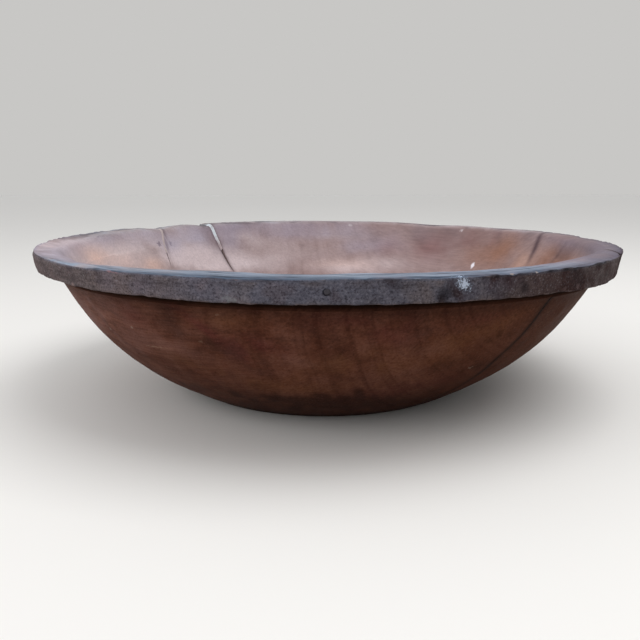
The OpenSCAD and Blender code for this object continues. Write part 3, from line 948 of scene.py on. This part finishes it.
# %% The coats meet
# Dirt and painted shade beside the splits: near black outside, grey in the hollow
dirt_and_shade_colour = coats(tree, linear("#1c0c05"), [(zone["zone_hollow"], 0, 1, 1.0, "#4f4047")])
colour = coats(tree, outside, [
    (zone["zone_hollow"], 0, 1, 1.0, hollow),
    (zone["zone_band"], 0, 1, 1.0, band),
    (zone["zone_top"], 0, 1, 1.0, flat_top),
    # Painted shade: near black under the band and on the collar
    (zone["shade_under_band"], 0, 1, 0.95, "#0e0502"),
    # Painted shade at the foot
    (zone["foot_shade"], 0, 1, 0.7, "#1c0d06"),
    (zone["stain_split"], 0, 1, 0.85, dirt_and_shade_colour),
])

# Fibres and turning lines lighten and darken what lies under them, fibres less in the hollow
streaks = coats(tree, (1.22, 1.18, 1.14, 1), [(fibres, 0.34, 0.68, 1.0, (0.70, 0.68, 0.67, 1))])
turned = coats(tree, (1.08, 1.08, 1.08, 1), [(lines, 0.35, 0.65, 1.0, (0.90, 0.89, 0.89, 1))])
fibre_share = add(tree, "ShaderNodeMapRange", {0: zone["zone_hollow"], 3: 0.75, 4: 0.35}).outputs[0]
for share, tone in ((fibre_share, streaks), (0.5, turned)):
    colour = add(tree, "ShaderNodeMix", {0: share, 6: colour, 7: tone},
                 data_type="RGBA", blend_type="MULTIPLY").outputs[2]
print("nodes with the coats:", len(tree.nodes))

# %% [markdown]
# A few nicks, scuffs and drops sit at their own places on the real bowl: pale nicks outside, a
# drop of dough in the hollow, dents along the band and a splash of old paint. They are smaller
# than the grid's faces, so an attribute can't hold them. Each is an ellipse in object space
# instead, placed on the worn surface, and a fine noise frays its edge.

# %% Small marks at their own places
def mark_place(parts, degrees, z):
    """The point of the worn bowl on those parts, in that direction and near that height, in metres."""
    chosen = np.flatnonzero(np.isin(part_of, parts))
    row = chosen[np.argmin(np.abs(height[chosen] - z))]
    return worn(np.array(row), np.radians(degrees)) * MM


def ellipse_gap(centre, half_sizes_mm, tilt, turn_to):
    """Distance from a centre in half sizes, along, out of and up the wall, tilted in degrees."""
    local = add(tree, "ShaderNodeMapping", {
        "Vector": place, "Location": centre.tolist(),
        "Rotation": (0, np.radians(-tilt), np.radians(turn_to)),
        "Scale": tuple(size * MM for size in half_sizes_mm)}, vector_type="TEXTURE").outputs[0]
    return add(tree, "ShaderNodeVectorMath", {0: local}, operation="LENGTH").outputs["Value"]


def fray(gap, noise, low, high, by):
    """Adds a noise to a distance, from -by where the noise is low to by where it is high."""
    amount = add(tree, "ShaderNodeMapRange", {0: noise, 1: low, 2: high, 3: -by, 4: by}).outputs[0]
    return add(tree, "ShaderNodeMath", {0: gap, 1: amount}, operation="ADD").outputs[0]


# Colour, parts, direction, height, half sizes in mm along, out and up, tilt, strength, raggedness
MARKS = [
    ("#b5aaa6", OUTSIDE, -138.0, 84.9, 1.6, 3.0, 1.1, 0, 0.4, 0.7),
    ("#a4948a", OUTSIDE, -128.4, 92.7, 1.4, 3.0, 1.0, 0, 0.4, 0.7),
    ("#8f7a6c", OUTSIDE, -112.4, 88.5, 2.2, 3.0, 0.8, 10, 0.25, 0.7),
    ("#a99483", OUTSIDE, -125.0, 79.4, 11.0, 4.0, 0.6, 3, 0.3, 0.7),
    ("#8f7a6c", OUTSIDE, -107.3, 115.1, 2.0, 3.0, 0.9, 0, 0.25, 0.7),
    ("#9c8a80", OUTSIDE, -58.4, 58.2, 2.2, 3.0, 1.3, 0, 0.55, 0.7),
    ("#c9bfc2", HOLLOW, 47.5, 137.0, 2.4, 3.0, 1.8, 0, 0.7, 0.6),
    ("#bfb6ba", HOLLOW, 82.9, 137.4, 2.6, 3.0, 1.4, 0, 0.6, 0.6),
    ("#e6e2ea", HOLLOW, 38.6, 99.5, 2.6, 4.0, 4.4, -12, 1.0, 0.2),
    ("#6f6472", HOLLOW, 145.5, 133.0, 3.2, 3.0, 4.6, 0, 0.65, 0.6),
    ("#7a7080", HOLLOW, 141.4, 132.6, 2.0, 3.0, 2.6, 0, 0.6, 0.6),
    ("#a8848a", BAND, -122.5, 143.2, 9.0, 3.0, 0.6, -4, 0.6, 0.7),
    ("#9aa3ad", BAND, -103.3, 130.0, 6.0, 3.0, 2.6, -15, 0.35, 0.7),
    ("#b5a59c", BAND, -63.1, 144.0, 1.6, 2.0, 0.6, 0, 0.7, 0.6),
    ("#b5a59c", BAND, -58.5, 143.6, 1.2, 2.0, 0.6, 0, 0.7, 0.6),
    ("#7f6b6e", BAND, -51.3, 129.8, 3.5, 3.0, 1.6, 0, 0.3, 0.7),
    ("#7f6b6e", BAND, -47.5, 130.0, 3.5, 3.0, 2.0, 0, 0.3, 0.7),
    ("#a48d8e", BAND, -134.0, 129.0, 2.4, 3.0, 1.6, 0, 0.5, 0.7),
]
FRAY_MM = 2.5
frayed = add(tree, "ShaderNodeTexNoise", {
    "Vector": place, "Scale": 1000 / FRAY_MM, "Detail": 3.0}).outputs["Fac"]
for code, parts, degrees, z, long_half, deep_half, wide_half, tilt, strength, raggedness in MARKS:
    gap = ellipse_gap(mark_place(parts, degrees, z), (long_half, deep_half, wide_half), tilt, degrees + 90)
    gap = fray(gap, frayed, 0.3, 0.7, raggedness)
    colour = coats(tree, colour, [(gap, 1.2, 0.5, strength, code)])
print("marks:", len(MARKS))

# %% A splash of old paint on the band, and the painted shadow round the nail
FLECK_MM = 1.6
flecks = add(tree, "ShaderNodeTexNoise", {
    "Vector": place, "Scale": 1000 / FLECK_MM, "Detail": 4.0, "Roughness": 0.75}).outputs["Fac"]
gap = ellipse_gap(mark_place(BAND, -71.2, 139.6), (6.2, 6.0, 3.4), -40, 19)
gap = fray(gap, flecks, 0.35, 0.65, 0.85)
paint = add(tree, "ShaderNodeMapRange", {0: gap, 1: 0.85, 2: 0.5}).outputs[0]
colour = coats(tree, colour, [(gap, 1.35, 0.9, 0.45, "#7f8fa6"), (paint, 0, 1, 0.95, "#cfe0fb")])

# Painted shadow of the nail head: a dark ring set a little low and to the left of it
NAIL_R, NAIL_Z = 2.5, 136.0
NAIL_FACE_Y = -(RIM_R - BAND_TAPER / 2)
shade_at = (-0.5 * MM, NAIL_FACE_Y * MM, (NAIL_Z - 0.6) * MM)
gap = add(tree, "ShaderNodeVectorMath", {0: place, 1: shade_at}, operation="DISTANCE").outputs["Value"]
colour = coats(tree, colour, [(gap, (NAIL_R + 0.6) * MM, (NAIL_R - 0.3) * MM, 0.88, "#131018")])
print("nodes with the marks:", len(tree.nodes))

# %% Shine and relief of the wood
# Oil has sunk in, so there is little gloss left: a low specular level, and a roughness painted
# by part that mottle and grit unsettle.
shine = zone["roughness"]
for pattern, at_low, at_high, clamp in ((mottle, -0.07, 0.07, False), (grit, -0.05, 0.08, True)):
    change = add(tree, "ShaderNodeMapRange", {
        0: pattern, 1: 0.3, 2: 0.7, 3: at_low, 4: at_high}).outputs[0]
    shine = add(tree, "ShaderNodeMath", {0: shine, 1: change}, operation="ADD",
                use_clamp=clamp).outputs[0]
surface.inputs["IOR"].default_value = 1.5
surface.inputs["Specular IOR Level"].default_value = 0.04
pits = add(tree, "ShaderNodeMath", {0: zone["zone_band"], 1: grit}, operation="MULTIPLY").outputs[0]
dress(tree, surface, colour, shine, [
    (fibres, 0.25, 0.5), (lines, 0.3, 0.4), (pits, 0.9, 0.7), (mottle, 1.2, 0.35), (paint, 0.4, 0.8),
])
print("nodes in all:", len(tree.nodes))


# %% Raw wood inside a split
# Torn, never finished wood gives the eye a dry and fibrous wall: greyish where the hollow was
# scrubbed, and black with dirt outside. Its fibres are drawn coarser than real ones.
TORN_MM, TORN_LONG_MM = 5 / 3, 25


def split_wood(name, dark, light):
    """Rough torn fibres between two colours."""
    material, tree, surface = new_material(name)
    place = add(tree, "ShaderNodeTexCoord").outputs["Object"]
    grain = add(tree, "ShaderNodeMapping", {
        "Vector": place, "Rotation": (0, 0, -GRAIN_ANGLE),
        "Scale": (1000 / TORN_LONG_MM, 1000 / TORN_MM, 1000 / TORN_MM)}).outputs[0]
    fibres = add(tree, "ShaderNodeTexNoise", {"Vector": grain, "Scale": 1.0, "Detail": 3.0}).outputs["Fac"]
    colour = coats(tree, linear(dark), [(fibres, 0, 1, 1.0, light)])
    rough = add(tree, "ShaderNodeMapRange", {0: fibres, 3: 0.75, 4: 0.95}).outputs[0]
    dress(tree, surface, colour, rough, [(fibres, 0.5, 0.6)])
    return material


raw_wood = split_wood("raw_split_wood", "#8a7675", "#ab9794")
dirty_wood = split_wood("dirty_split_wood", "#0d0604", "#24140e")
print("torn wood:", raw_wood.name, dirty_wood.name)

# %% Cut the splits
# Every cutter carries the bowl's three materials in the same slots, so the cut keeps its own.
BOWL_WOODS = (turned_wood, raw_wood, dirty_wood)
RAW_SLOT, DIRTY_SLOT = 1, 2
for material in BOWL_WOODS:
    bowl.data.materials.append(material)
cutters = []
for name, (ring_points, faces) in wedges.items():
    cutter = new_mesh(name, ring_points, faces)
    for material in BOWL_WOODS:
        cutter.data.materials.append(material)
    slot = DIRTY_SLOT if name in ("right_gap", "wall_gap") else RAW_SLOT
    slots = np.full(len(cutter.data.polygons), slot, np.int32)
    cutter.data.polygons.foreach_set("material_index", slots)
    cut = bowl.modifiers.new(name, "BOOLEAN")
    cut.operation, cut.solver, cut.object = "DIFFERENCE", "MANIFOLD", cutter
    cutters.append(cutter)
finished = bowl.evaluated_get(bpy.context.evaluated_depsgraph_get())
cut_mesh = bpy.data.meshes.new_from_object(finished)
bowl.modifiers.clear()
bowl.data = cut_mesh
for cutter in cutters:
    bpy.data.objects.remove(cutter)
smooth(bowl, 42)
bowl.data.calc_loop_triangles()
print("cut bowl:", len(bowl.data.loop_triangles), "triangles")

# %% [markdown]
# The two splits at the back were stopped with filler, pressed in from the hollow and over the
# rim. A filler is a long plug that fills the gap through the wall and stands a little proud,
# with a soft bead. A box pushed into the gap would show its corners. So its skin is a ribbon
# that runs up the hollow, over the rim and down the outside on the worn surface itself, and its
# two sides are zipped together through the wood.

# %% Fillers
RIBBON = np.linspace(-1, 1, 13)


def filler(name, mouth, depth, fill, spread, proud, course):
    """A plug through the wall. Across the ribbon, the bead is proud times the root of 1 - x * x,
    with lumps, and lies 0.3 mm into the wood at its sides; spread widens it left and right."""
    keep = np.flatnonzero((height >= BOWL_H - fill) & ~is_part["dish"] & ~is_part["sole"])
    z, radius = height[keep][:, None], section[keep][:, :1]
    along = np.sqrt(np.maximum(radius**2 - course["across"] ** 2, 0))
    middle = split_middle(along + 0 * RIBBON, z + 0 * RIBBON, **course)
    half = split_half(z, mouth, depth) + np.where(RIBBON < 0, *spread)
    side = middle + RIBBON * half
    lumps = 1 + 0.5 * drift(np.stack([side, z + 0 * side, 0 * side], -1), 7, 41)
    bead = proud * np.sqrt(np.clip(1 - RIBBON**2, 0, 1)) * lumps - 0.3 - 0.6 * top_rows[keep][:, None]
    points = worn(keep[:, None], end_angle(side, radius, -1), bead)

    # The ribbon doubles back over the rim: zips join its sides, and a seat closes its two ends
    n, count = len(RIBBON), len(keep)
    near = np.arange(count // 2) * n
    far = (count - 1) * n - near
    across = np.arange(n - 1)
    last = (count - 1) * n
    zip_left = np.stack([far[:-1], far[1:], near[1:], near[:-1]], -1)
    zip_right = zip_left[:, ::-1] + n - 1
    seat = np.stack([across, across + 1, last + across + 1, last + across], -1)
    faces = [grid_faces(count, n, closed=False), zip_left, zip_right, seat]
    piece = new_mesh(name, points.reshape(-1, 3), faces)
    smooth(piece, 50)

    # Grime has settled on the filler everywhere but in the hollow and on the lip
    grimy = np.repeat((1 - on_rows(hollow=1, lip=1, top=(0.5, 0.1, 0, 0, 0)))[keep], n)
    corner_at = np.zeros(len(piece.data.loops), np.int32)
    piece.data.loops.foreach_get("vertex_index", corner_at)
    grimy = grimy[corner_at].astype(np.float32)
    piece.data.attributes.new("grimy", "FLOAT", "CORNER").data.foreach_set("value", grimy)
    print(name, len(piece.data.polygons), "faces")
    return piece


rear_filler = filler("rear_filler", REAR_MOUTH, REAR_DEPTH, 34.0, (0.1, 0.1), 0.5, REAR)
left_filler = filler("left_filler", LEFT_MOUTH, LEFT_DEPTH, 30.0, (1.6, 0.3), 0.5, LEFT)

# %% [markdown]
# The open split holds hard, pale putty, which has kept a little gloss; it is whiter and bluer
# near the rim than where it reaches down into the bowl. The narrow one holds wax, duller and
# close to the wood's own colour. Both were smoothed by a thumb and have picked up dirt, so each
# gets a few lumps a finger mark across and the painted grime, and nothing finer.

# %% Hardened putty
# It gives the eye a smooth pale line with a soft highlight.
PUTTY_LUMP_MM = 4
putty, tree, surface = new_material("hardened_putty")
place = add(tree, "ShaderNodeTexCoord").outputs["Object"]
up = add(tree, "ShaderNodeSeparateXYZ", {0: place}).outputs["Z"]
lumps = add(tree, "ShaderNodeTexNoise", {
    "Vector": place, "Scale": 1000 / PUTTY_LUMP_MM, "Detail": 4.0}).outputs["Fac"]
grime = add(tree, "ShaderNodeAttribute", attribute_name="grimy").outputs["Fac"]
colour = coats(tree, linear("#b3a3a5"), [
    # Whiter and bluer towards the rim
    (up, 0.117, 0.131, 1.0, "#d3dbe2"),
    (lumps, 0.5, 0.75, 0.6, "#8c8185"),
    (grime, 0, 1, 0.85, "#6f686b"),
])
rough = add(tree, "ShaderNodeMapRange", {0: lumps, 1: 0.3, 2: 0.7, 3: 0.28, 4: 0.5}).outputs[0]
dress(tree, surface, colour, rough, [(lumps, 0.5, 0.5)])
surface.inputs["Specular IOR Level"].default_value = 0.2
rear_filler.data.materials.append(putty)
print("putty:", len(tree.nodes), "nodes")

# %% Hardened wax
# It gives the eye a dull line, barely lighter than the wood.
WAX_LUMP_MM = 5
wax, tree, surface = new_material("hardened_wax")
place = add(tree, "ShaderNodeTexCoord").outputs["Object"]
lumps = add(tree, "ShaderNodeTexNoise", {
    "Vector": place, "Scale": 1000 / WAX_LUMP_MM, "Detail": 4.0}).outputs["Fac"]
grime = add(tree, "ShaderNodeAttribute", attribute_name="grimy").outputs["Fac"]
colour = coats(tree, linear("#a39492"), [(lumps, 0, 1, 1.0, "#c9bab9"), (grime, 0, 1, 0.8, "#6b5f5d")])
rough = add(tree, "ShaderNodeMapRange", {0: lumps, 1: 0.3, 2: 0.7, 3: 0.5, 4: 0.7}).outputs[0]
dress(tree, surface, colour, rough, [(lumps, 0.4, 0.5)])
left_filler.data.materials.append(wax)
print("wax:", len(tree.nodes), "nodes")

# %% [markdown]
# A nail was driven into the band at the front. Its head is hammered and stained as dark as the
# band, and only its low dome and the shade round it show. A cylinder with a bevel would be too
# true for a forged head, so its section is spun like the bowl's, with a radius that is a little
# uneven round the head.

# %% Nail
NAIL_COLUMNS = 40
NAIL_SINK = 0.45
around = np.linspace(0, 2 * np.pi, NAIL_COLUMNS, endpoint=False)
# Radius and distance out of the band, in mm, from the tip to the crown of the head
nail_section = np.array([
    (0.35, -14.3), (1.3, -11.9), (1.3, -6.0), (1.3, -1.6), (2.1, -1.5), (2.15, -0.9),
    (2.15, -0.1), (2.05, 0.28), (1.8, 0.6), (1.4, 0.82), (0.8, 0.93), (0.3, 0.96),
])
uneven = 1 + 0.05 * np.sin(2 * around + 0.5) + 0.03 * np.sin(5 * around)
nail_r = nail_section[:, :1] * uneven
nail_y = NAIL_FACE_Y + NAIL_SINK - nail_section[:, 1:] + 0 * around
nail_points = np.stack([nail_r * np.cos(around), nail_y, NAIL_Z + nail_r * np.sin(around)], -1)
nail_ends = [(0, nail_y[0, 0] + 0.1, NAIL_Z), (0, nail_y[-1, 0] - 0.01, NAIL_Z)]
ring_count = nail_r.size
ring = np.arange(NAIL_COLUMNS)
nail = new_mesh("nail", np.vstack([nail_points.reshape(-1, 3), nail_ends]), [
    grid_faces(len(nail_section), NAIL_COLUMNS),
    pole_faces(ring_count, ring),
    pole_faces(ring_count + 1, (ring + ring_count - NAIL_COLUMNS)[::-1]),
])
smooth(nail, 50)
print("nail:", len(nail.data.polygons), "faces")

# %% Blackened wrought iron
# It gives the eye a dull, dark and faintly pitted head. Scale and stain hide most of the metal.
SCALE_PIT_MM = 1.2
iron, tree, surface = new_material("blackened_iron")
place = add(tree, "ShaderNodeTexCoord").outputs["Object"]
scale = add(tree, "ShaderNodeTexNoise", {
    "Vector": place, "Scale": 1000 / SCALE_PIT_MM, "Detail": 4.0}).outputs["Fac"]
colour = coats(tree, linear("#26242a"), [(scale, 0, 1, 1.0, "#47444d")])
rough = add(tree, "ShaderNodeMapRange", {0: scale, 1: 0.3, 2: 0.7, 3: 0.45, 4: 0.7}).outputs[0]
dress(tree, surface, colour, rough, [(scale, 0.3, 0.6)])
surface.inputs["Metallic"].default_value = 0.35
nail.data.materials.append(iron)
print("iron:", len(tree.nodes), "nodes")

# %% [markdown]
# Each piece now takes the place of its exact solid. The bowl has no moving part, so everything
# rides on the one body of the frame, which is called root.

# %% Each piece rides on the frame and stands for its solid
for piece, node, slot in (
    (bowl, "bowl", "bowl_wood"),
    (rear_filler, "rear_split_filler", "pale_filler"),
    (left_filler, "left_split_filler", "tan_filler"),
    (nail, "rim_nail", "nail_iron"),
):
    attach(piece, "root")
    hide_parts(node)
    print(piece.name, "stands for", node)

# %% [markdown]
# The stage is a plain pale floor in a white room. The camera could simply be shown a floor as
# bright as wanted, but a floor that bright would throw its light up under the bowl and grey the
# dark wood. So the floor and the room have two colours each: the one that the camera sees, and
# a dimmer, warmer one for the light that they pass on. Light Path tells them apart.

# %% Floor
HALF_FLOOR = 6
floor_mesh = bpy.data.meshes.new("floor")
floor_corners = [(x * HALF_FLOOR, y * HALF_FLOOR, 0) for x, y in ((-1, -1), (1, -1), (1, 1), (-1, 1))]
floor_mesh.from_pydata(floor_corners, [], [(0, 1, 2, 3)])
floor = bpy.data.objects.new("floor", floor_mesh)
bpy.context.scene.collection.objects.link(floor)


def seen_directly(tree):
    """1 for rays from the camera, or that a shiny or clear surface passes on, and 0 for others."""
    path = add(tree, "ShaderNodeLightPath")
    seen = path.outputs["Is Camera Ray"]
    for way in ("Is Glossy Ray", "Is Transmission Ray"):
        seen = add(tree, "ShaderNodeMath", {0: seen, 1: path.outputs[way]}, operation="MAXIMUM").outputs[0]
    return seen


pale, tree, surface = new_material("pale_floor")
floor_colour = coats(tree, linear("#b2a596"), [(seen_directly(tree), 0, 1, 1.0, "#f1efec")])
tree.links.new(floor_colour, surface.inputs["Base Color"])
surface.inputs["Roughness"].default_value = 0.9
floor_mesh.materials.append(pale)
print("floor:", 2 * HALF_FLOOR, "m across")

# %% White room
# Rays that light the bowl see a room that is brighter on the left than on the right. The camera
# sees it in the plain pale grey that the floor takes in the distance.
world = bpy.data.worlds.new("room")
bpy.context.scene.world = world
world.use_nodes = True
room = world.node_tree
way = add(room, "ShaderNodeTexCoord").outputs["Generated"]
way_x = add(room, "ShaderNodeSeparateXYZ", {0: way}).outputs[0]
room_light = coats(room, (0.98, 0.99, 1.0, 1), [
    (way_x, -1.0, 1.0, 1.0, (0.30, 0.30, 0.30, 1)),
    (seen_directly(room), 0, 1, 1.0, "#c8c7c5"),
])
room.links.new(room_light, room.nodes["Background"].inputs["Color"])
print("room:", len(room.nodes), "nodes")

# %% [markdown]
# One broad lamp overhead and a softer one from the left give the rim its shine and leave the
# underside in shade. Area lamps a metre and more across give the soft edge that the bowl's own
# shadow needs. A sun would draw it sharp.

# %% Lamps
def lamp(name, place_at, target, size, watts):
    """A square soft lamp that faces a target."""
    light = bpy.data.lights.new(name, "AREA")
    light.shape, light.size, light.energy = "SQUARE", size, watts
    holder = bpy.data.objects.new(name, light)
    holder.location = place_at
    x, y, z = np.asarray(target, float) - np.asarray(place_at, float)
    holder.rotation_euler = (np.arctan2(np.hypot(x, y), -z), 0, np.arctan2(y, x) - np.pi / 2)
    bpy.context.scene.collection.objects.link(holder)
    print(name, "lamp:", watts, "W,", size, "m across")


LIT_AT = (0, 0, 0.1)
lamp("overhead", (0.65, -0.35, 1.7), LIT_AT, 1.4, 17)
lamp("left", (-1.7, -1.0, 1.0), LIT_AT, 1.2, 9)
bpy.context.scene.view_settings.view_transform = "Standard"
